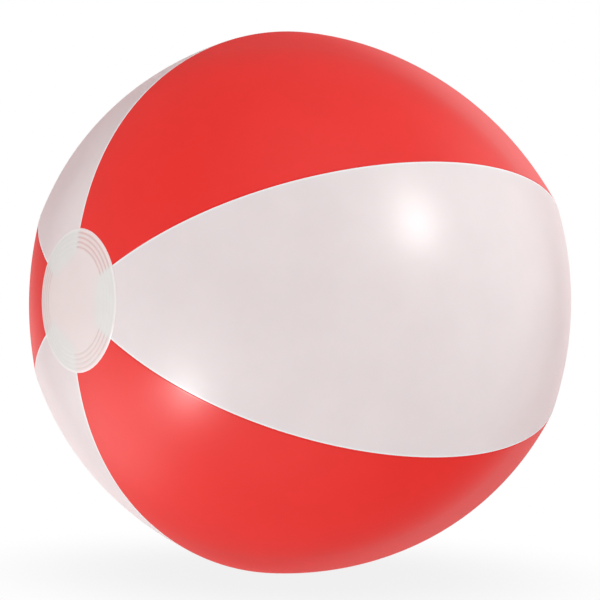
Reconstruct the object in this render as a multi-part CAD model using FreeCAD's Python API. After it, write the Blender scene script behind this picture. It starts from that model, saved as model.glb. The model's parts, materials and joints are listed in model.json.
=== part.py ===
"""Inflatable beach ball: six welded film gores, two welded end discs and a push-in air valve.

Units are millimetres. The origin is the ball's centre. X runs through both poles, and Z is up.
A gore's angle is measured about X from the front (-Y) towards the top (+Z).

The ball is not a sphere. Its seams lie on a superelliptic meridian, and each gore is a little flatter
across than a circle, so the seams stand out as six soft corners.
"""

import FreeCAD
import Part
import math
import os
from FreeCAD import Vector

# ---- driving dimensions: ball ----
SEAM_RADIUS = 140.0          # seam to axis at the equator
POLE_HEIGHT = 135.6          # centre to pole
SHOULDER_POWER = 0.858       # below 1 makes the shoulders fuller than an ellipse
GORES = 6
HALF_GORE = math.pi / GORES
GORE_FLATNESS = 0.2075       # 0 gives a round section, 1 a flat-sided polygon
ROUND_FROM, ROUND_AT = 0.88, 0.97   # share of the pole height over which the section turns round
FILM = 0.25                  # film thickness
WELD_GAP = 0.01              # drawn gap between two welded faces
FIN_DEPTH = 3.0              # depth of the seam allowance, which points into the ball
FIN_END_RADIUS = 38.0        # the seam allowance is trimmed here, clear of the end disc
WHITE_END_RADIUS = 20.0      # a white gore's tongue reaches this close to the axis
RED_END_RADIUS = 24.0        # a red gore ends under the disc's weld band

# ---- driving dimensions: end discs ----
DISC_RADIUS = 35.0
DISC_FILM = 0.35
GROOVES = 4
GROOVE_PITCH = 2.3
FIRST_GROOVE_RADIUS = 32.7         # middle of the outermost weld groove
GROOVE_WIDTH = 1.0
GROOVE_DEPTH = 0.15

# ---- driving dimensions: valve, in its own frame (u towards the pole, w outwards, w = 0 on the film) ----
VALVE_GORE = 2               # index of the gore that carries the valve
VALVE_RADIUS = 77.0          # seam radius at the valve's latitude
FILM_HOLE = 7.5
FLANGE_OUTER = 14.0
FLANGE_INNER = 7.2
FLANGE_THICK = 0.6
STEM_TOP = 0.4
STEM_BOTTOM = -10.0
STEM_OUTER = 4.5
STEM_FOOT_RADIUS = 5.2
STEM_FOOT_THICK = 0.8
NOZZLE_BORE = 3.0
MOUTH_BORE = 3.6
MOUTH_DEPTH = 4.9
BOOT_WALL = 0.45
BOOT_TOP = -0.65
LUG_END = 6.6                # the stem's lug that anchors the tether reaches this far from the valve's axis
LUG_WIDTH = 4.0
LUG_THICK = 0.6
HEAD_RADIUS = 5.8
HEAD_THICK = 1.3
HEAD_GAP = 0.1
HEAD_ROUNDING = 0.4
DIMPLE_RADIUS = 6.0
DIMPLE_DEPTH = 0.5
TAB_RADIUS = 2.4             # the finger tab is a small disc centred on the head's rim
TAB_THICK = 0.6
PLUG_ROOT = 3.55
PLUG_TIP = 2.4
PLUG_LENGTH = 4.2
TETHER_THICK = 0.4
TETHER_WIDTH = 3.0
TETHER_REACH = 9.6           # valve axis to the tether's fold, which is the plug's hinge
FOLD_INSIDE = 0.3            # inner radius of the tether's fold
FLAP_RADIUS = 4.2
FLAP_THICK = 0.4
FLAP_GAP = 0.05
FLAP_HINGE = 4.4             # valve axis to the check flap's hinge

GORE_NAMES = [
    "white_gore_front",
    "red_gore_upper_front",
    "white_gore_upper_back",
    "red_gore_back",
    "white_gore_lower_back",
    "red_gore_lower_front",
]


# ---- the ball's surface ----
def meridian(t):
    """Distance along X and seam radius at parameter t, which runs from -pi/2 at one pole to pi/2 at the other."""
    return POLE_HEIGHT * math.sin(t), SEAM_RADIUS * math.cos(t) ** SHOULDER_POWER


def meridian_normal(t):
    """Outward unit normal of the seam's meridian, as (along X, radial)."""
    slope = SEAM_RADIUS * SHOULDER_POWER * math.cos(t) ** (SHOULDER_POWER - 1) * math.sin(t)
    rise = POLE_HEIGHT * math.cos(t)
    size = math.hypot(slope, rise)
    return slope / size, rise / size


def parameter_at(radius):
    """The positive t at which the seam is this far from the axis."""
    return math.acos((radius / SEAM_RADIUS) ** (1 / SHOULDER_POWER))


def flatness(t):
    """How far the section is flattened between seams: full round the middle, none under the end discs."""
    s = (abs(math.sin(t)) - ROUND_FROM) / (ROUND_AT - ROUND_FROM)
    s = min(1.0, max(0.0, s))
    return GORE_FLATNESS * (1 - s * s * (3 - 2 * s))


def surface_point(t, angle, offset):
    """A point of the front gore, angle radians from its centre line and offset outside its outer face."""
    x, radius = meridian(t)
    k = flatness(t)
    radius *= (1 - k) + k * math.cos(HALF_GORE) / math.cos(angle)
    nx, nr = meridian_normal(t)
    x += nx * offset
    radius += nr * offset
    return Vector(x, -radius * math.cos(angle), radius * math.sin(angle))


def spaced(low, high, count):
    return [low + (high - low) * i / (count - 1) for i in range(count)]


def curve_through(points):
    curve = Part.BSplineCurve()
    curve.interpolate(Points=points, Parameters=[float(i) for i in range(len(points))])
    return curve


def spline_edge(points):
    return curve_through(points).toShape()


def surface_through(grid):
    """A cubic surface through a grid of points: curves along the rows, then curves through their poles."""
    rows = [curve_through(row) for row in grid]
    columns = [curve_through(column) for column in zip(*[row.getPoles() for row in rows])]
    poles = list(zip(*[column.getPoles() for column in columns]))
    u, v = columns[0], rows[0]
    sheet = Part.BSplineSurface()
    sheet.buildFromPolesMultsKnots(
        poles,
        u.getMultiplicities(), v.getMultiplicities(),
        u.getKnots(), v.getKnots(),
        False, False,
        u.Degree, v.Degree,
    )
    return sheet


def skin(t_range, angle_range, outer, inner, counts):
    """A closed solid between two offsets of the front gore's surface."""
    ts = spaced(*t_range, counts[0])
    angles = spaced(*angle_range, counts[1])
    faces = []
    for offset in (outer, inner):
        grid = [[surface_point(t, a, offset) for a in angles] for t in ts]
        faces.append(surface_through(grid))
    shell = [sheet.toShape() for sheet in faces]
    for u_way in (True, False):
        for end in (0, 1):
            edges = []
            for sheet in faces:
                u0, u1, v0, v1 = sheet.bounds()
                iso = sheet.uIso((u0, u1)[end]) if u_way else sheet.vIso((v0, v1)[end])
                edges.append(iso.toShape())
            shell.append(Part.makeRuledSurface(edges[0], edges[1]))
    sewn = Part.makeCompound(shell)
    sewn.sewShape(1e-4)
    solid = Part.makeSolid(Part.Shell(sewn.Faces))
    if solid.Volume < 0:
        solid.reverse()
    return solid


def seam_fin(side):
    """The seam allowance along one edge of the front gore: side is 1 for the upper edge and -1 for the lower."""
    t_end = parameter_at(FIN_END_RADIUS)
    ts = spaced(-t_end, t_end, 81)
    angle = side * HALF_GORE
    top = [surface_point(t, angle, -FILM / 2) for t in ts]
    foot = [surface_point(t, angle, -FIN_DEPTH) for t in ts]
    wire = Part.Wire([
        spline_edge(top),
        Part.makeLine(top[-1], foot[-1]),
        spline_edge(foot[::-1]),
        Part.makeLine(foot[0], top[0]),
    ])
    # the unit vector from this seam's plane into the gore
    inward = Vector(0, -math.sin(angle), -math.cos(angle)) * side
    plate = Part.Face(wire).extrude(inward * FILM)
    plate.translate(inward * (WELD_GAP / 2))
    return plate


def front_gore(end_radius):
    """One film gore with its two seam allowances."""
    t_end = parameter_at(end_radius)
    half = HALF_GORE - WELD_GAP / 2 / SEAM_RADIUS
    body = skin((-t_end, t_end), (-half, half), 0.0, -FILM, (81, 13))
    return body.fuse([seam_fin(1), seam_fin(-1)]).Solids[0]


def turned_to(shape, gore):
    """A copy of a shape made on the front gore, moved round the ball to another gore."""
    turned = shape.copy()
    turned.rotate(Vector(0, 0, 0), Vector(1, 0, 0), -360.0 / GORES * gore)
    return turned


def disc_profile(offset, radii):
    """Points of the end disc's meridian in the XY plane, at an offset from the gores' outer face."""
    points = []
    for radius in radii:
        t = parameter_at(radius) if radius > 0 else math.pi / 2
        x, r = meridian(t)
        nx, nr = meridian_normal(t) if radius > 0 else (1.0, 0.0)
        points.append(Vector(x + nx * offset, -(r + nr * offset), 0))
    return points


def end_disc(side):
    """A round film disc, welded over the gores' ends with rings of grooves. side is -1 at the left pole."""
    radii = [DISC_RADIUS * (i / 12) ** 1.2 for i in range(13)]
    under = disc_profile(WELD_GAP, radii)
    over = disc_profile(WELD_GAP + DISC_FILM, radii)
    wire = Part.Wire([
        spline_edge(under),
        Part.makeLine(under[-1], over[-1]),
        spline_edge(over[::-1]),
        Part.makeLine(over[0], under[0]),
    ])
    disc = Part.Face(wire).revolve(Vector(0, 0, 0), Vector(1, 0, 0), 360)
    ring_radius = (GROOVE_WIDTH ** 2 / 4 + GROOVE_DEPTH ** 2) / (2 * GROOVE_DEPTH)
    lift = WELD_GAP + DISC_FILM + ring_radius - GROOVE_DEPTH
    for i in range(GROOVES):
        centre = disc_profile(lift, [FIRST_GROOVE_RADIUS - i * GROOVE_PITCH])[0]
        ring = Part.makeTorus(-centre.y, ring_radius, Vector(centre.x, 0, 0), Vector(1, 0, 0))
        disc = disc.cut(ring)
    solid = disc.Solids[0]
    if side < 0:
        solid.rotate(Vector(0, 0, 0), Vector(0, 0, 1), 180)
    return solid


# ---- the valve, built in its own frame with w along Z, then placed on its gore ----
def valve_placement():
    """Carries the valve's frame (u, v, w) to the centre line of the front gore."""
    t = parameter_at(VALVE_RADIUS)
    nx, nr = meridian_normal(t)
    u = Vector(nr, nx, 0)
    w = Vector(nx, -nr, 0)
    v = w.cross(u)
    matrix = FreeCAD.Matrix(
        u.x, v.x, w.x, 0,
        u.y, v.y, w.y, 0,
        u.z, v.z, w.z, 0,
        0, 0, 0, 1,
    )
    placement = FreeCAD.Placement(matrix)
    placement.Base = surface_point(t, 0, 0)
    return placement


def on_ball(shape):
    """Moves a shape from the valve's frame to its place on the ball."""
    placed = shape.copy()
    placed.Placement = valve_placement().multiply(placed.Placement)
    return turned_to(placed, VALVE_GORE)


def ring(outer, inner, low, high):
    tube = Part.makeCylinder(outer, high - low, Vector(0, 0, low))
    return tube.cut(Part.makeCylinder(inner, high - low + 2, Vector(0, 0, low - 1)))


def revolved(profile):
    """A solid turned about the valve's axis from (radius, w) corners."""
    corners = [Vector(r, 0, w) for r, w in profile]
    face = Part.Face(Part.makePolygon(corners + corners[:1]))
    return face.revolve(Vector(0, 0, 0), Vector(0, 0, 1), 360)


def valve_axis_cylinder(radius):
    """A long cylinder along the valve's axis, in the front gore's place."""
    tool = Part.makeCylinder(radius, 60, Vector(0, 0, -30))
    tool.Placement = valve_placement().multiply(tool.Placement)
    return tool


def valve_flange():
    """The weld flange: a film-shaped washer on the inside of the gore."""
    t = parameter_at(VALVE_RADIUS)
    reach = 0.16
    outer = -FILM - WELD_GAP
    patch = skin((t - reach, t + reach), (-2 * reach, 2 * reach), outer, outer - FLANGE_THICK, (11, 11))
    washer = patch.common(valve_axis_cylinder(FLANGE_OUTER)).cut(valve_axis_cylinder(FLANGE_INNER))
    return turned_to(washer.Solids[0], VALVE_GORE)


def valve_boot():
    """The thin cone that turns inside out when the stem is pulled or pushed."""
    top_outer = FLANGE_INNER - 0.05
    foot_outer = STEM_FOOT_RADIUS + 0.02 + BOOT_WALL
    foot_low = STEM_BOTTOM
    foot_high = STEM_BOTTOM + STEM_FOOT_THICK
    return revolved([
        (top_outer, BOOT_TOP),
        (top_outer, BOOT_TOP - 0.6),
        (foot_outer, foot_low),
        (foot_outer - BOOT_WALL, foot_low),
        (foot_outer - BOOT_WALL, foot_high),
        (top_outer - BOOT_WALL, BOOT_TOP - 0.6),
        (top_outer - BOOT_WALL, BOOT_TOP),
    ])


def valve_stem():
    """The tube that the plug closes, with its foot, its stepped bore and the tether's lug."""
    tube = Part.makeCylinder(STEM_OUTER, STEM_TOP - STEM_BOTTOM, Vector(0, 0, STEM_BOTTOM))
    foot = Part.makeCylinder(STEM_FOOT_RADIUS, STEM_FOOT_THICK, Vector(0, 0, STEM_BOTTOM))
    lug = Part.makeBox(LUG_END, LUG_WIDTH, LUG_THICK, Vector(-LUG_END, -LUG_WIDTH / 2, STEM_TOP - LUG_THICK))
    body = tube.fuse([foot, lug]).removeSplitter()
    body = body.cut(Part.makeCylinder(NOZZLE_BORE, 40, Vector(0, 0, -20)))
    body = body.cut(Part.makeCylinder(MOUTH_BORE, MOUTH_DEPTH + 1, Vector(0, 0, STEM_TOP - MOUTH_DEPTH)))
    return body.Solids[0]


def valve_plug():
    """The stopper: a round head with a finger tab, and a tapered plug that clears the mouth as it swings."""
    low = STEM_TOP + HEAD_GAP
    high = low + HEAD_THICK
    head = Part.makeCylinder(HEAD_RADIUS, HEAD_THICK, Vector(0, 0, low))
    rim = [e for e in head.Edges if e.BoundBox.ZMin > high - 1e-3]
    head = head.makeFillet(HEAD_ROUNDING, rim)
    dimple = Part.makeSphere(DIMPLE_RADIUS, Vector(0, 0, high + DIMPLE_RADIUS - DIMPLE_DEPTH))
    tab = Part.makeCylinder(TAB_RADIUS, TAB_THICK, Vector(HEAD_RADIUS, 0, low + 0.2))
    tip = Part.makeCone(PLUG_TIP, PLUG_ROOT, PLUG_LENGTH, Vector(0, 0, low - PLUG_LENGTH))
    return head.cut(dimple).fuse([tab, tip]).removeSplitter().Solids[0]


def plug_tether():
    """The strap from the stem's lug to the plug's head: two leaves and a half-round fold, the plug's hinge."""
    fold_height = STEM_TOP + FOLD_INSIDE
    outside = FOLD_INSIDE + TETHER_THICK
    start = Vector(-TETHER_REACH, -TETHER_WIDTH / 2, fold_height)
    fold = Part.makeCylinder(outside, TETHER_WIDTH, start, Vector(0, 1, 0))
    fold = fold.cut(Part.makeCylinder(FOLD_INSIDE, TETHER_WIDTH + 2, start - Vector(0, 1, 0), Vector(0, 1, 0)))
    fold = fold.cut(Part.makeBox(4, TETHER_WIDTH + 2, 4, start + Vector(0, -1, -2)))

    def leaf(low, length):
        corner = Vector(-TETHER_REACH, -TETHER_WIDTH / 2, low)
        return Part.makeBox(length, TETHER_WIDTH, TETHER_THICK, corner)

    lower = leaf(STEM_TOP - TETHER_THICK, TETHER_REACH - LUG_END - WELD_GAP)
    upper = leaf(STEM_TOP + 2 * FOLD_INSIDE, TETHER_REACH - HEAD_RADIUS / 2)
    upper = upper.cut(Part.makeCylinder(HEAD_RADIUS + WELD_GAP, 10))
    return fold.fuse([lower, upper]).removeSplitter().Solids[0]


def check_flap():
    """The non-return flap under the stem, with a bead along its hinge."""
    high = STEM_BOTTOM - FLAP_GAP
    disc = Part.makeCylinder(FLAP_RADIUS, FLAP_THICK, Vector(0, 0, high - FLAP_THICK))
    neck = Part.makeBox(2.0, 3.0, FLAP_THICK, Vector(FLAP_HINGE - 2.0, -1.5, high - FLAP_THICK))
    bead_at = Vector(FLAP_HINGE, -1.5, high - FLAP_THICK / 2)
    bead = Part.makeCylinder(FLAP_THICK / 2, 3.0, bead_at, Vector(0, 1, 0))
    return disc.fuse([neck, bead]).removeSplitter().Solids[0]


def build_parts():
    """Every node of the ball, as {name: solid}."""
    white = front_gore(WHITE_END_RADIUS)
    red = front_gore(RED_END_RADIUS)
    parts = {}
    for i, name in enumerate(GORE_NAMES):
        gore = red if name.startswith("red") else white
        if i == VALVE_GORE:
            gore = gore.cut(valve_axis_cylinder(FILM_HOLE)).Solids[0]
        parts[name] = turned_to(gore, i)
    parts["end_disc_left"] = end_disc(-1)
    parts["end_disc_right"] = end_disc(1)
    parts["valve_flange"] = valve_flange()
    parts["valve_boot"] = on_ball(valve_boot())
    parts["valve_stem"] = on_ball(valve_stem())
    parts["valve_plug"] = on_ball(valve_plug())
    parts["plug_tether"] = on_ball(plug_tether())
    parts["check_flap"] = on_ball(check_flap())
    return parts


def main():
    os.makedirs("parts", exist_ok=True)
    for name, shape in build_parts().items():
        shape.exportStep(f"parts/{name}.step")
        box = shape.BoundBox
        size = f"{box.XLength:.2f} x {box.YLength:.2f} x {box.ZLength:.2f}"
        print(f"{name}: {size} mm, {shape.Volume:.1f} mm3, valid {shape.isValid()}, {len(shape.Faces)} faces")


main()
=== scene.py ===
"""Inflatable beach ball: film gores, ribbed end discs and a push-in valve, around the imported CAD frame."""

import json
import math

import bmesh
import bpy
from mathutils import Matrix, Vector


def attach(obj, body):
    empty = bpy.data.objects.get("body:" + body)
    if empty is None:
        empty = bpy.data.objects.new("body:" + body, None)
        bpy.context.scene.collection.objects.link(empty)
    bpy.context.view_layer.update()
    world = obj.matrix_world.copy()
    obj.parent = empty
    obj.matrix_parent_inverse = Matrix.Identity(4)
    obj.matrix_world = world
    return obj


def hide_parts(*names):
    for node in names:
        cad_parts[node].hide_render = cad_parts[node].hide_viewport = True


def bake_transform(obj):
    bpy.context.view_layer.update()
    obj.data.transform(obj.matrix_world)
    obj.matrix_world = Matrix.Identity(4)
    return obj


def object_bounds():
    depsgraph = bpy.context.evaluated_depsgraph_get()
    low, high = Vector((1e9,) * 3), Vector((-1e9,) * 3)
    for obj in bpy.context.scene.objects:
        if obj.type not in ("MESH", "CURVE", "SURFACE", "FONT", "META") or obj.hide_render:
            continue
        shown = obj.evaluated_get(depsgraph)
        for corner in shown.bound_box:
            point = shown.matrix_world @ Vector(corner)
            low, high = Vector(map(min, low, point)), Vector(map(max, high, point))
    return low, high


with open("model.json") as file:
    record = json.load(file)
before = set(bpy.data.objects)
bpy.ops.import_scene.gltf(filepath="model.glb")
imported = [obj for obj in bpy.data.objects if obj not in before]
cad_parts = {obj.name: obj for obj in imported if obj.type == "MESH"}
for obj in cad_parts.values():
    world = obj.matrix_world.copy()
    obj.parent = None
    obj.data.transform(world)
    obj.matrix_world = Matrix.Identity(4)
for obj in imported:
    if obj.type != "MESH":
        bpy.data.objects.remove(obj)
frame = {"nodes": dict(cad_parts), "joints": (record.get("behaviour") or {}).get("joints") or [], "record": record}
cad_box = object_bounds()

scene = bpy.context.scene

# ---- the ball's shape, in metres; the seam radius is the CAD's own ----
SEAM_RADIUS = cad_box[1][2]
UNIT = SEAM_RADIUS / 140.0          # one millimetre of the drawing
POLE_HEIGHT = 135.6 * UNIT          # from the middle to a pole
SHOULDER_POWER = 0.858              # below 1 is fuller than an ellipse
HALF_GORE = math.pi / 6
GORE_TURN = math.radians(60)
FLATNESS = 0.2075                   # 0 is a round section, and 1 is a hexagon
ROUND_FROM, ROUND_AT = 0.88, 0.97   # shares of the pole height between which the section turns round
FILM = 0.25 * UNIT
DISC_RADIUS = 34.9 * UNIT
WHITE_END = 19.9 * UNIT             # distances from the axis at which the gores end
RED_END = 25.2 * UNIT

GORES = [
    "white_gore_front",
    "red_gore_upper_front",
    "white_gore_upper_back",
    "red_gore_back",
    "white_gore_lower_back",
    "red_gore_lower_front",
]
VALVE_GORE = 2                      # the place in GORES of the one with the valve
# What is added to FLATNESS in the left and the right half of a gore that filled differently.
# The largest, 0.12, makes a gore up to 2.3 mm flatter.
SLACK = {
    "red_gore_upper_front": (0.0, 0.12),
    "red_gore_lower_front": (-0.04, -0.06),
    "white_gore_lower_back": (0.07, 0.0),
}
EVEN = (0.0, 0.0)
SLACK_FROM, SLACK_TO = -0.25, 0.55  # where one half's slack turns into the other's


def smooth(x, low, high):
    """0 below low, 1 above high, and a smooth step between."""
    s = min(1.0, max(0.0, (x - low) / (high - low)))
    return s * s * (3 - 2 * s)


def parameter_at(radius):
    """The surface parameter t at which the seam is at this distance from the axis."""
    return math.acos((radius / SEAM_RADIUS) ** (1 / SHOULDER_POWER))


def surface(t, angle, offset, slack=EVEN):
    """A point of the front gore: t runs from pole to pole, angle from its centre line, offset outwards."""
    cos_t, sin_t = max(math.cos(t), 1e-9), math.sin(t)
    seam = SEAM_RADIUS * cos_t ** SHOULDER_POWER
    extra = slack[0] + (slack[1] - slack[0]) * smooth(sin_t, SLACK_FROM, SLACK_TO)
    k = (FLATNESS + extra) * (1 - smooth(abs(sin_t), ROUND_FROM, ROUND_AT))
    radius = seam * ((1 - k) + k * math.cos(HALF_GORE) / math.cos(angle))
    slope = SEAM_RADIUS * SHOULDER_POWER * cos_t ** (SHOULDER_POWER - 1) * sin_t
    rise = POLE_HEIGHT * cos_t
    size = math.hypot(slope, rise)
    x = POLE_HEIGHT * sin_t + offset * slope / size
    radius += offset * rise / size
    return Vector((x, -radius * math.cos(angle), radius * math.sin(angle)))


# ---- meshes ----
def mesh_object(name, points, faces, attributes=None):
    """A smooth object in the scene. attributes holds one list of numbers a point under each name."""
    mesh = bpy.data.meshes.new(name)
    mesh.from_pydata([tuple(p) for p in points], [], faces)
    for key, values in (attributes or {}).items():
        layer = mesh.attributes.new(key, "FLOAT", "POINT")
        layer.data.foreach_set("value", values)
    mesh.validate()
    mesh.update()
    mesh.shade_smooth()
    piece = bpy.data.objects.new(name, mesh)
    scene.collection.objects.link(piece)
    return piece


def closed_rings(name, rings):
    """A closed mesh through a circle of rings, each with the same number of points."""
    size = len(rings[0])
    faces = []
    for k in range(len(rings)):
        here, there = k * size, (k + 1) % len(rings) * size
        for i in range(size):
            j = (i + 1) % size
            faces.append((here + i, here + j, there + j, there + i))
    return mesh_object(name, [p for ring in rings for p in ring], faces)


def face_outwards(piece):
    """Turns every face of a closed mesh outwards."""
    mesh = bmesh.new()
    mesh.from_mesh(piece.data)
    bmesh.ops.recalc_face_normals(mesh, faces=mesh.faces)
    mesh.to_mesh(piece.data)
    mesh.free()
    return piece


# ---- the valve's place, from the record: u along the gore, v across it, w outwards ----
JOINTS = {j["name"]: j for j in frame["joints"]}
NOZZLE = next(m for m in frame["record"]["mounts"] if m["name"] == "pump_nozzle")
NOZZLE_DEPTH = 7.25                 # millimetres from the film down to the mount pump_nozzle
W_AXIS = Vector(NOZZLE["axis"])
V_AXIS = -Vector(JOINTS["plug_hinge"]["axis"])
U_AXIS = V_AXIS.cross(W_AXIS)
VALVE = Vector(NOZZLE["pos_m"]) + NOZZLE_DEPTH * UNIT * W_AXIS
VALVE_ON_FRONT = Matrix.Rotation(GORE_TURN * VALVE_GORE, 3, "X") @ VALVE
VALVE_T = math.asin(0.8671)         # its place along the gore, as a surface parameter
HOLE_RADIUS = 7.5                   # millimetres


def at_valve(u, v, w):
    """A point in the row frame from millimetres along the valve's own axes."""
    return VALVE + UNIT * (u * U_AXIS + v * V_AXIS + w * W_AXIS)


def round_valve(radius, turn, w):
    """The same from a distance and a turn about the valve's axis."""
    return at_valve(radius * math.cos(turn), radius * math.sin(turn), w)


def on_film(radius, turn, height):
    """A point at this height above the film, at a distance in millimetres round the valve's axis."""
    gore_radius = SEAM_RADIUS * math.cos(VALVE_T) ** SHOULDER_POWER
    speed = (surface(VALVE_T + 1e-4, 0, 0) - surface(VALVE_T, 0, 0)).length / 1e-4
    t = VALVE_T + radius * UNIT * math.cos(turn) / speed
    point = surface(t, radius * UNIT * math.sin(turn) / gore_radius, height * UNIT)
    return Matrix.Rotation(-GORE_TURN * VALVE_GORE, 3, "X") @ point


# ---- gores ----
ROWS, COLUMNS = 180, 24
EDGE_SHARE = 0.92                   # the plain middle's share of the way to the last edge point
FINE_ALONG = (0.078, 0.0035)        # reach and step of the finer rows at the valve, in half lengths
FINE_ACROSS = (0.42, 0.014)         # and of the finer columns, in half widths
GROOVE = 0.3 * UNIT                 # rounding of the film where it turns into the seam
FIN_NEAR_POLE, FIN = 0.4 * UNIT, 3.0 * UNIT
SEAM_GAP = 0.02 * UNIT              # from the seam's plane to each of the two fins
RING_HEIGHT, RING_PITCH = 0.13 * UNIT, 1.25
RING_REACH = 16 * UNIT


def spread(low, high, count, focus=None, reach=0.0, fine=0.0):
    """Evenly spaced values from low to high, with closer ones within reach of focus."""
    values = [low + (high - low) * i / count for i in range(count + 1)]
    if focus is None:
        return values
    close = [focus - reach + fine * i for i in range(int(2 * reach / fine) + 1)]
    return sorted([x for x in values if abs(x - focus) > reach + fine / 2] + close)


def weld_ring(distance):
    """Height of the rings pressed into the film where the valve's flange is welded under it."""
    mm = distance / UNIT
    band = smooth(mm, 8.6, 9.0) * (1 - smooth(mm, 13.6, 14.0))
    return RING_HEIGHT * band * (0.5 - 0.5 * math.cos(2 * math.pi * (mm - 9.0) / RING_PITCH))


def across_gore(radius, middle_angles):
    """(angle, drop below the surface, distance to the seam) along a gore's outer face, fin to fin."""
    near = smooth(radius, 36 * UNIT, 44 * UNIT)     # 0 at the poles, where the fins are trimmed short
    fin = FIN_NEAR_POLE + (FIN - FIN_NEAR_POLE) * near
    groove_size = GROOVE * (0.5 + 0.5 * near)
    path = [(SEAM_GAP, fin), (SEAM_GAP, 0.6 * fin)]
    for i in range(6):
        turn = math.pi / 2 * i / 5
        path.append((SEAM_GAP + groove_size * (1 - math.cos(turn)), groove_size * (1 - math.sin(turn))))
    for s in (1.3, 1.9, 2.8, 4.2):
        path.append((s * UNIT * (0.4 + 0.6 * near), 0.0))
    edge = [(HALF_GORE - s / radius, drop, s) for s, drop in path]
    inner = edge[-1][0]
    middle = [(-inner * m, 0.0, (HALF_GORE - inner * abs(m)) * radius) for m in middle_angles]
    return edge + middle + [(-a, drop, s) for a, drop, s in reversed(edge)]


def inner_face(angle, drop, radius):
    """(angle, offset) one film thickness inside the outer face; in a fin, that is away from the seam."""
    lean = min(1.0, drop / GROOVE)
    return angle - math.copysign(FILM * lean / radius, angle), -drop - FILM * (1 - lean)


def gore_faces(rows, width):
    """Faces of a closed sheet with an outer and an inner layer of width points in every row."""
    faces = []
    stride = 2 * width
    for i in range(rows - 1):
        a, b = i * stride, (i + 1) * stride
        for j in range(width - 1):
            faces.append((a + j, a + j + 1, b + j + 1, b + j))
            faces.append((a + width + j + 1, a + width + j, b + width + j, b + width + j + 1))
        faces.append((a + width, a, b, b + width))
        faces.append((a + width - 1, a + 2 * width - 1, b + 2 * width - 1, b + width - 1))
    last = (rows - 1) * stride
    for j in range(width - 1):
        faces.append((j + 1, j, width + j, width + j + 1))
        faces.append((last + j, last + j + 1, last + width + j + 1, last + width + j))
    return faces


def gore_mesh(name, end_radius, straight, has_valve, slack):
    """A closed sheet: the outer face with its two seam fins, and the same path one film thickness inside.

    A straight gore is cut straight across at its ends, and the others end in an arc.
    """
    points, seam = [], []
    shares = spread(-1, 1, ROWS)
    middle_angles = spread(-EDGE_SHARE, EDGE_SHARE, COLUMNS)
    if has_valve:
        shares = spread(-1, 1, ROWS, VALVE_T / parameter_at(end_radius), *FINE_ALONG)
        middle_angles = spread(-EDGE_SHARE, EDGE_SHARE, COLUMNS, 0.0, *FINE_ACROSS)
    for share in shares:
        radius = SEAM_RADIUS * math.cos(parameter_at(end_radius) * share) ** SHOULDER_POWER
        row = across_gore(radius, middle_angles)
        for layer in (0, 1):
            for angle, drop, s in row:
                end = end_radius * (math.cos(HALF_GORE * 0.5) / math.cos(angle) if straight else 1)
                t = parameter_at(end) * share
                a, offset = inner_face(angle, drop, radius) if layer else (angle, -drop)
                point = surface(t, a, offset, slack)
                away = (point - VALVE_ON_FRONT).length
                if has_valve and away < RING_REACH:
                    point = surface(t, a, offset + weld_ring(away))
                points.append(point)
                seam.append(s / UNIT)
    return mesh_object(name, points, gore_faces(len(shares), len(row)), {"seam_mm": seam})


# ---- end discs; radii in millimetres, as in the CAD ----
GROOVE_DEPTH = 0.06 * UNIT
OUTER_GROOVE, GROOVE_PITCH = 32.7, 2.3
GROOVES_FROM, GROOVES_TO = 24.8, 33.2
DISC_TOP, DISC_UNDERSIDE = 0.33 * UNIT, 0.02 * UNIT     # heights above the gores
DISC_TURNS = 240


def groove(radius):
    """0 on a rib, the rim and the plain centre of the end disc, and 1 at the bottom of a weld groove."""
    mm = radius / UNIT
    band = smooth(mm, GROOVES_FROM, GROOVES_FROM + 0.5) * (1 - smooth(mm, GROOVES_TO, GROOVES_TO + 0.4))
    return band * (0.5 + 0.5 * math.cos(2 * math.pi * (mm - OUTER_GROOVE) / GROOVE_PITCH)) ** 1.5


def rim(radius):
    """1 on the disc's plain outer rim, outside the last groove."""
    return smooth(radius / UNIT, 33.5, 34.0)


def rim_drop(radius):
    """How far the disc's outer face rounds down at its edge."""
    return 0.24 * UNIT * smooth(radius / UNIT, 34.2, 34.9) ** 2


def pressed(turn):
    """How strongly the grooves' mark shows: best over the red gores, and stronger on one side of the disc, which
    paints directional shade in the grooves.
    """
    over_red = smooth(-math.cos(3 * turn), -0.15, 0.15)
    return 0.25 + 0.75 * over_red * (0.6 + 0.4 * math.cos(turn - math.pi / 3))


def disc_radii():
    """Radii of the disc's rings of points: wide apart in the plain centre, and fine over the grooves."""
    radii = [0.15 * DISC_RADIUS * i for i in range(1, 5)]
    fine = 0.15 * UNIT
    while radii[-1] + fine < DISC_RADIUS:
        radii.append(radii[-1] + (fine if radii[-1] > 23.5 * UNIT else 1.2 * UNIT))
    return radii + [DISC_RADIUS]


def disc_faces(rings):
    """Faces of a closed disc: a centre point and rings on the outer face, then the same on the inner one."""
    faces = []
    lower = 1 + rings * DISC_TURNS
    for k in range(DISC_TURNS):
        n = (k + 1) % DISC_TURNS
        faces.append((0, 1 + k, 1 + n))
        faces.append((lower, lower + 1 + n, lower + 1 + k))
        for i in range(rings - 1):
            a, b = 1 + i * DISC_TURNS, 1 + (i + 1) * DISC_TURNS
            faces.append((a + k, b + k, b + n, a + n))
            a, b = a + lower, b + lower
            faces.append((a + n, b + n, b + k, a + k))
        a = 1 + (rings - 1) * DISC_TURNS
        faces.append((a + k, a + lower + k, a + lower + n, a + n))
    return faces


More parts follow.
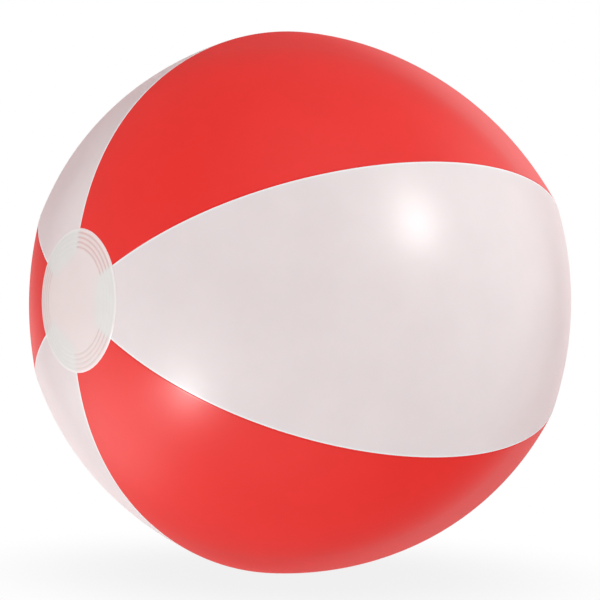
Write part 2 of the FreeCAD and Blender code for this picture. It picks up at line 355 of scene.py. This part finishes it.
def disc_mesh(name, side):
    """A closed film disc over the gores' ends. side is -1 at the left pole."""
    points, marks = [], []

    def ring(radius, offset):
        p = surface(parameter_at(radius), 0, offset)
        for k in range(DISC_TURNS):
            a = 2 * math.pi * k / DISC_TURNS
            points.append(Vector((side * p.x, p.y * math.cos(a), side * p.y * math.sin(a))))
            # The groove mark sets the disc's painted groove shade and clear share, and is stronger on one side as
            # painted shade.
            marks.append(groove(radius) * pressed(a) - rim(radius))

    def centre(offset):
        points.append(Vector((side * (POLE_HEIGHT + offset), 0, 0)))
        marks.append(0.0)

    radii = disc_radii()
    centre(DISC_TOP)
    for r in radii:
        ring(r, DISC_TOP - GROOVE_DEPTH * groove(r) - rim_drop(r))
    centre(DISC_UNDERSIDE)
    for r in radii:
        ring(r, DISC_UNDERSIDE)
    return mesh_object(name, points, disc_faces(len(radii)), {"groove": marks})


# ---- materials ----
class Nodes:
    """Short calls for building the node tree of a material or a world."""

    def __init__(self, owner):
        owner.use_nodes = True
        self.owner = owner
        self.tree = owner.node_tree
        self.tree.nodes.clear()

    def add(self, kind, settings=None, **inputs):
        """A new node, with its settings and its inputs by name."""
        node = self.tree.nodes.new(kind)
        for key, value in (settings or {}).items():
            setattr(node, key, value)
        for key, value in inputs.items():
            self.put(node, key, value)
        return node

    def put(self, node, key, value):
        """Links or sets one input. key is its name in small letters, or i and its number."""
        names = {"".join(c for c in s.name if c.isalnum()).lower(): s for s in reversed(node.inputs)}
        numbered = key[0] == "i" and key[1:].isdigit()
        slot = node.inputs[int(key[1:])] if numbered else names[key.replace("_", "")]
        if hasattr(value, "is_linked"):
            self.tree.links.new(value, slot)
        elif hasattr(value, "outputs"):
            self.tree.links.new(value.outputs[0], slot)
        else:
            slot.default_value = value

    def math(self, operation, a, b=0.0):
        return self.add("ShaderNodeMath", {"operation": operation}, i0=a, i1=b)

    def vector_math(self, operation, a, b):
        return self.add("ShaderNodeVectorMath", {"operation": operation}, i0=a, i1=b)

    def ramp(self, value, low, high, to_low=0.0, to_high=1.0):
        return self.add(
            "ShaderNodeMapRange", {"interpolation_type": "SMOOTHSTEP"},
            i0=value, i1=low, i2=high, i3=to_low, i4=to_high,
        )

    def mix_colour(self, factor, a, b, blend="MIX"):
        settings = {"data_type": "RGBA", "blend_type": blend}
        return self.add("ShaderNodeMix", settings, i0=factor, i6=a, i7=b).outputs[2]

    def mix(self, factor, a, b):
        return self.add("ShaderNodeMixShader", i0=factor, i1=a, i2=b)

    def noise(self, where, scale, detail, roughness):
        settings = {"vector": where, "scale": scale, "detail": detail, "roughness": roughness}
        return self.add("ShaderNodeTexNoise", **settings).outputs[0]

    def bump(self, height, strength, distance, **below):
        return self.add("ShaderNodeBump", strength=strength, distance=distance, height=height, **below)

    def attribute(self, name):
        return self.add("ShaderNodeAttribute", {"attribute_name": name}).outputs["Fac"]

    def finish(self, shader):
        """Links the shader to the output and gives back the material or world."""
        is_world = isinstance(self.owner, bpy.types.World)
        self.add("ShaderNodeOutputWorld" if is_world else "ShaderNodeOutputMaterial", surface=shader)
        return self.owner


def rgb(red, green, blue):
    return (red, green, blue, 1.0)


CLEAR_WHITE = rgb(1, 1, 1)
FILM_ROUGHNESS = 0.34
FILM_IOR = 1.42
MOST_GLOSS = 0.2                    # the gloss at the film's outline is no stronger than this
# The first colour is painted shade at the bottom of the end disc's grooves, and the second that of the disc's
# lighter plain rim.
GROOVE_PAINTED_SHADE, ON_RIM = rgb(0.90, 0.905, 0.89), rgb(0.97, 0.95, 0.94)


def film_bump(n, where):
    """Fine orange peel over slow, shallow waves in the film."""
    peel = n.noise(where, 900.0, 2.0, 0.5)
    wave = n.noise(where, 22.0, 1.0, 0.4)
    return n.bump(wave, 0.25, 0.0004, normal=n.bump(peel, 0.04, 0.0001))


def film(name, reflect, transmit, through, grazing, edge=None, clear=None):
    """Gloss PVC film: reflects, glows with the light behind it, and may be partly clear.

    through is the share of the body light that crosses the film, and grazing that share at its outline.
    edge is the colour of the pressed weld line along a seam, where the film lies doubled: lighter on the white
    film, and darker on the red one, which is partly painted shade of the seam's groove. clear is the share seen
    straight through the end disc, on its plain parts and in a groove. Light that leaves through the film's second
    face isn't changed, so a closed sheet counts once.
    """
    n = Nodes(bpy.data.materials.new(name))
    where = n.add("ShaderNodeTexCoord").outputs["Object"]
    tone = n.ramp(n.noise(where, 38.0, 4.0, 0.55), 0.25, 0.75, 0.975, 1.015)
    colour = n.mix_colour(1.0, reflect, tone, "MULTIPLY")
    opaque = 0.0
    if edge:
        # The weld line along a seam: doubled film, and on the red film also painted shade of the seam's groove.
        opaque = n.ramp(n.attribute("seam_mm"), 0.4, 1.3, 1.0, 0.0)
        colour = n.mix_colour(opaque, colour, edge)
    if clear:
        mark = n.attribute("groove")
        # Painted shade in the end disc's grooves, stronger on one side of the disc.
        colour = n.mix_colour(n.ramp(mark, 0.1, 0.9), colour, GROOVE_PAINTED_SHADE)
        colour = n.mix_colour(n.ramp(mark, -0.9, -0.1, 1.0, 0.0), colour, ON_RIM)
    bump = film_bump(n, where)
    straight_on = n.add("ShaderNodeBsdfTransparent", color=CLEAR_WHITE)
    glow = n.add("ShaderNodeBsdfTranslucent", color=transmit, normal=bump)
    facing = n.add("ShaderNodeLayerWeight", blend=0.5, normal=bump).outputs["Facing"]
    share = n.math("MULTIPLY", n.ramp(facing, 0.3, 0.95, through, grazing), n.math("SUBTRACT", 1.0, opaque))
    body = n.mix(share, n.add("ShaderNodeBsdfDiffuse", color=colour, normal=bump), glow)
    if clear:
        body = n.mix(n.ramp(mark, 0.1, 0.9, *clear), body, straight_on)
    gloss = n.add(
        "ShaderNodeBsdfGlossy", {"distribution": "MULTI_GGX"},
        color=CLEAR_WHITE, roughness=FILM_ROUGHNESS, normal=bump,
    )
    fresnel = n.add("ShaderNodeFresnel", ior=FILM_IOR, normal=bump)
    body = n.mix(n.math("MINIMUM", fresnel, MOST_GLOSS), body, gloss)
    second_face = n.add("ShaderNodeNewGeometry").outputs["Backfacing"]
    return n.finish(n.mix(second_face, body, straight_on))


def soft_vinyl(name, colour, depth):
    """Moulded soft PVC of the valve: milky, a little light inside, fine mould grain and turned rings."""
    n = Nodes(bpy.data.materials.new(name))
    where = n.add("ShaderNodeTexCoord").outputs["Object"]
    away = n.vector_math("SUBTRACT", where, VALVE)
    across = [n.vector_math("DOT_PRODUCT", away, axis).outputs["Value"] for axis in (U_AXIS, V_AXIS)]
    squares = n.math("ADD", n.math("POWER", across[0], 2.0), n.math("POWER", across[1], 2.0))
    rings = n.math("SINE", n.math("MULTIPLY", n.math("SQRT", squares), 2 * math.pi / (0.45 * UNIT)))
    tone = n.ramp(n.noise(where, 300.0, 3.0, 0.6), 0.3, 0.7, 0.94, 1.03)
    grain = n.bump(n.noise(where, 2600.0, 2.0, 0.6), 0.25, 0.00005)
    return n.finish(n.add(
        "ShaderNodeBsdfPrincipled",
        base_color=n.mix_colour(1.0, colour, tone, "MULTIPLY"), roughness=0.36, ior=1.5,
        subsurface_weight=depth, subsurface_radius=(1.0, 0.8, 0.7), subsurface_scale=1.6 * UNIT,
        coat_weight=0.25, coat_roughness=0.2, normal=n.bump(rings, 0.2, 0.00003, normal=grain),
    ))


white_film = film(
    "white_film", rgb(0.84, 0.846, 0.853), rgb(0.96, 0.89, 0.88), 0.2, 0.36, edge=rgb(0.86, 0.895, 0.89),
)
# The red film's darker seam colour is partly painted shade of the seam's groove.
red_film = film(
    "red_film", rgb(0.96, 0.033, 0.025), rgb(0.98, 0.02, 0.015), 0.32, 0.34, edge=rgb(0.82, 0.010, 0.008),
)
disc_film = film("disc_film", rgb(0.86, 0.87, 0.85), rgb(0.95, 0.93, 0.92), 0.15, 0.3, clear=(0.07, 0.34))
valve_vinyl = soft_vinyl("valve_vinyl", rgb(0.76, 0.74, 0.725), 0.5)
plug_vinyl = soft_vinyl("plug_vinyl", rgb(0.80, 0.785, 0.775), 0.35)


# ---- film pieces ----
def cut_hole(piece, radius):
    """Cuts the valve's round hole through a piece and applies the cut."""
    turns = 96
    ring = [round_valve(radius, 2 * math.pi * k / turns, 0) for k in range(turns)]
    points = [p - 6 * UNIT * W_AXIS for p in ring] + [p + 6 * UNIT * W_AXIS for p in ring]
    faces = [tuple(reversed(range(turns))), tuple(range(turns, 2 * turns))]
    faces += [(k, (k + 1) % turns, turns + (k + 1) % turns, turns + k) for k in range(turns)]
    cutter = mesh_object("cutter", points, faces)
    cut = piece.modifiers.new("hole", "BOOLEAN")
    cut.operation = "DIFFERENCE"
    cut.object = cutter
    cut.solver = "EXACT"
    bpy.context.view_layer.update()
    with bpy.context.temp_override(object=piece, active_object=piece, selected_objects=[piece]):
        bpy.ops.object.modifier_apply(modifier=cut.name)
    bpy.data.objects.remove(cutter)
    piece.data.shade_smooth()


def dress(piece, material, node=None):
    """Gives a piece its material and slot, and hides the CAD node that it stands for."""
    piece.data.materials.append(material)
    if node:
        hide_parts(node)


def gore_piece(index, node):
    """One gore, turned to its place round the ball."""
    is_white = node.startswith("white")
    has_valve = index == VALVE_GORE
    end = WHITE_END if is_white else RED_END
    piece = gore_mesh(node + "_film", end, is_white, has_valve, SLACK.get(node, EVEN))
    piece.data.transform(Matrix.Rotation(-GORE_TURN * index, 4, "X"))
    dress(piece, white_film if is_white else red_film, node)
    if has_valve:
        cut_hole(piece, HOLE_RADIUS)
    return piece


for index, node in enumerate(GORES):
    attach(gore_piece(index, node), "ball")
for node, side in (("end_disc_left", -1), ("end_disc_right", 1)):
    piece = disc_mesh(node + "_film", side)
    dress(piece, disc_film, node)
    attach(piece, "ball")


# ---- valve, in millimetres along its own axes ----
def weld_bead():
    """The rounded lip where the edge of the film's hole is melted on to the flange."""
    profile = [(7.4, -0.3), (7.38, 0.0), (7.45, 0.14), (7.62, 0.22), (7.85, 0.24)]
    profile += [(8.1, 0.19), (8.35, 0.08), (8.6, -0.06), (8.2, -0.3)]
    turns = 128
    rings = [[on_film(r, 2 * math.pi * k / turns, h) for r, h in profile] for k in range(turns)]
    return closed_rings("valve_weld_bead", rings)


def boot():
    """The soft cone from the flange down to the stem's foot, with a rolled top edge."""
    outer = [(7.12, -0.66), (7.12, -1.1), (7.05, -1.7)]
    outer += [(7.05 - 1.38 * i / 12, -1.7 - 7.5 * i / 12) for i in range(1, 13)]
    outer += [(5.67, -9.98)]
    inner = [(5.24, -9.98), (5.24, -9.2)]
    inner += [(6.62 - 1.38 * i / 12, -1.7 - 7.4 * i / 12) for i in range(11, -1, -1)]
    inner += [(6.68, -1.1), (6.68, -0.66), (6.9, -0.60)]
    turns = 96
    rings = [[round_valve(r, 2 * math.pi * k / turns, w) for r, w in outer + inner] for k in range(turns)]
    return closed_rings("valve_boot_skin", rings)


def tether_path():
    """(u, w) along the strap's middle: from the stem's lug round the fold and back to the plug's head."""
    path = [(-6.62 - 0.3 * i, 0.2) for i in range(11)]
    for i in range(1, 17):
        turn = math.pi * i / 17
        path.append((-9.6 - 0.5 * math.sin(turn), 0.7 - 0.5 * math.cos(turn)))
    return path + [(-9.6 + 0.3 * i, 1.2) for i in range(13)] + [(-5.83, 1.2)]


def tether_section(count):
    """(v, height) round the strap's cross-section, 2.9 by 0.38 mm with rounded corners."""
    section = []
    for k in range(count):
        a = 2 * math.pi * (k + 0.5) / count
        wide = 1.45 * math.copysign(abs(math.cos(a)) ** 0.25, math.cos(a))
        section.append((wide, 0.19 * math.copysign(abs(math.sin(a)) ** 0.6, math.sin(a))))
    return section


def tether():
    """The strap from the stem's lug round its fold to the plug's head."""
    path, section = tether_path(), tether_section(16)
    size = len(section)
    points, faces = [], []
    for i, (u, w) in enumerate(path):
        before, after = path[max(i - 1, 0)], path[min(i + 1, len(path) - 1)]
        du, dw = after[0] - before[0], after[1] - before[1]
        step = math.hypot(du, dw)
        points += [at_valve(u - dw / step * h, v, w + du / step * h) for v, h in section]
    for i in range(len(path) - 1):
        for k in range(size):
            n = (k + 1) % size
            faces.append((size * i + k, size * i + n, size * (i + 1) + n, size * (i + 1) + k))
    faces.append(tuple(range(size)))
    faces.append(tuple(reversed(range(size * (len(path) - 1), size * len(path)))))
    return mesh_object("plug_tether_strap", points, faces)


def finish_moulding(node):
    """Gives a CAD moulding of the valve its material and soft edges."""
    part = frame["nodes"][node]
    part.data.materials.clear()
    part.data.materials.append(plug_vinyl if node == "valve_plug" else valve_vinyl)
    soften = part.modifiers.new("soft edges", "BEVEL")
    soften.width = 0.12 * UNIT
    soften.segments = 2
    soften.limit_method = "ANGLE"


skirt = face_outwards(boot())
dress(skirt, valve_vinyl, "valve_boot")
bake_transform(skirt)
strap = face_outwards(tether())
dress(strap, valve_vinyl, "plug_tether")
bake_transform(strap)
bead = face_outwards(weld_bead())
dress(bead, valve_vinyl)
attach(bead, "ball")
for node in ("valve_flange", "valve_stem", "valve_plug", "check_flap"):
    finish_moulding(node)

# ---- camera: a long lens, with the ball's axis turned away from the viewer ----
VIEW_ANGLE = math.radians(53.43)    # between the ball's axis and the line of sight
PICTURE_ROLL = math.radians(0.66)   # of the axis in the picture
BALL_ROLL = math.radians(-1.13)     # of the ball about its axis
CAMERA_DISTANCE = 8.2 * SEAM_RADIUS


def picture_axes():
    """The matrix that turns (right, up, towards the camera) into the row frame."""
    pole = Vector((
        -math.sin(VIEW_ANGLE) * math.cos(PICTURE_ROLL),
        math.sin(VIEW_ANGLE) * math.sin(PICTURE_ROLL),
        math.cos(VIEW_ANGLE),
    ))
    facing = (Vector((0, 0, 1)) - pole.z * pole).normalized()
    across = pole.cross(facing)
    front = math.cos(BALL_ROLL) * facing + math.sin(BALL_ROLL) * across
    upper = -math.sin(BALL_ROLL) * facing + math.cos(BALL_ROLL) * across
    return Matrix((-pole, -front, upper))


PICTURE = picture_axes()
lens = bpy.data.cameras.new("camera")
lens.lens = 133.0
lens.sensor_width = 36.0
lens.shift_x = 0.0003
lens.shift_y = 0.0051
camera = bpy.data.objects.new("camera", lens)
scene.collection.objects.link(camera)
camera.matrix_world = Matrix.Translation(PICTURE @ Vector((0, 0, CAMERA_DISTANCE))) @ PICTURE.to_4x4()
bpy.context.scene.camera = camera

# ---- studio light: a plain room with soft patches ----
# A patch is (direction in the picture, half width in degrees, strength). A least-squares program wrote the
# first strengths and both room levels. About half of the strengths were changed since.
ROOM_LIGHT = 0.38                   # what lights the film's body
PATCHES = [
    ((0.60, 0.80, 0.00), 80, 1.12),
    ((-0.60, -0.80, 0.00), 80, 1.08),
    ((1.00, 0.00, 0.20), 80, 0.41),
    ((-1.00, 0.00, 0.20), 80, 0.42),
    ((0.00, 0.00, 1.00), 80, 0.07),
]
ROOM_MIRRORED = 0.06                # what the film's gloss mirrors
MIRRORED = [
    ((0.00, 0.00, 1.00), 70, 0.14),
    ((0.70, 0.00, 0.70), 50, 0.76),
    ((-0.70, 0.00, 0.70), 50, 0.51),
    ((0.00, 0.70, 0.70), 50, 0.67),
    ((0.00, -0.70, 0.70), 50, 0.60),
    ((0.88, 0.40, -0.25), 35, 1.15),
    ((1.00, -0.10, -0.05), 35, 0.87),
    ((0.38, 0.25, -0.89), 24, 0.95),
    ((-0.80, 0.55, -0.18), 40, 0.17),
    ((0.40, -0.34, -0.85), 32, 0.45),
    ((0.34, -0.04, -0.94), 16, 0.40),
    ((-0.87, -0.47, -0.13), 30, 1.8),
    ((-0.68, -0.70, -0.19), 30, 0.2),
    ((-0.38, -0.22, -0.90), 24, 1.1),
    ((0.741, 0.403, 0.535), 24, 1.2),
    ((-0.705, -0.490, 0.50), 24, 1.2),
]
LAMPS = [                           # (name, direction, half width, brightness)
    ("key", (0.746, 0.398, 0.535), 4.5, 60.0),
    ("fill", (-0.700, -0.485, 0.505), 4.5, 80.0),
]
LAMP_DISTANCE = 2.0                 # metres


def in_picture(direction):
    return PICTURE @ Vector(direction).normalized()


def patch_light(n, base, patches):
    """A background shader: an even level plus soft round patches of light."""
    toward = n.add("ShaderNodeTexCoord").outputs["Generated"]
    total = base
    for direction, half_width, strength in patches:
        near = n.vector_math("DOT_PRODUCT", toward, in_picture(direction)).outputs["Value"]
        patch = n.ramp(near, math.cos(math.radians(half_width)), 1.0, 0.0, strength)
        total = n.math("ADD", patch, total)
    return n.add("ShaderNodeBackground", color=CLEAR_WHITE, strength=total)


def make_world():
    """Body light for diffuse rays, the mirrored patches for glossy rays, and plain white behind the ball."""
    world = bpy.data.worlds.new("studio")
    scene.world = world
    n = Nodes(world)
    world.cycles.sampling_method = "NONE"       # or the light could not tell glossy rays from the others
    ray = n.add("ShaderNodeLightPath").outputs
    body, mirrored = patch_light(n, ROOM_LIGHT, PATCHES), patch_light(n, ROOM_MIRRORED, MIRRORED)
    seen = n.add("ShaderNodeBackground", color=CLEAR_WHITE, strength=1.0)
    n.finish(n.mix(ray["Is Camera Ray"], n.mix(ray["Is Glossy Ray"], body, mirrored), seen))


def soft_lamp(name, direction, half_width, brightness):
    """A round lamp, seen only in the gloss. It fills a cone of this half width, in degrees."""
    radius = LAMP_DISTANCE * math.tan(math.radians(half_width))
    lamp = bpy.data.lights.new(name, "AREA")
    lamp.shape = "DISK"
    lamp.size = 2 * radius
    lamp.energy = brightness * math.pi * math.pi * radius ** 2
    holder = bpy.data.objects.new(name, lamp)
    scene.collection.objects.link(holder)
    toward = in_picture(direction)
    holder.location = toward * LAMP_DISTANCE
    holder.rotation_euler = toward.to_track_quat("Z", "Y").to_euler()
    holder.visible_camera = False
    holder.visible_diffuse = False
    holder.visible_transmission = False


def make_floor(height):
    """A pale floor that only the camera sees: it glows evenly, with a painted soft contact shadow from ambient
    occlusion.
    """
    n = Nodes(bpy.data.materials.new("floor_paint"))
    shade = n.add("ShaderNodeAmbientOcclusion", {"samples": 8}, distance=0.11)
    # Painted contact shadow: the floor's glow dims where ambient occlusion finds the ball near.
    level = n.ramp(shade.outputs["AO"], 0.2, 1.0, 0.87, 1.0)
    floor = mesh_object("floor", [(-40, -40, 0), (40, -40, 0), (40, 40, 0), (-40, 40, 0)], [(0, 1, 2, 3)])
    floor.location = (0, 0, height)
    floor.data.materials.append(n.finish(n.add("ShaderNodeEmission", color=CLEAR_WHITE, strength=level)))
    floor.visible_shadow = False
    floor.visible_diffuse = False
    floor.visible_glossy = False
    floor.visible_transmission = False
    return floor


scene.view_settings.view_transform = "Standard"
scene.cycles.use_denoising = True
make_world()
for lamp in LAMPS:
    soft_lamp(*lamp)
make_floor(cad_box[0][2] - 0.0004)
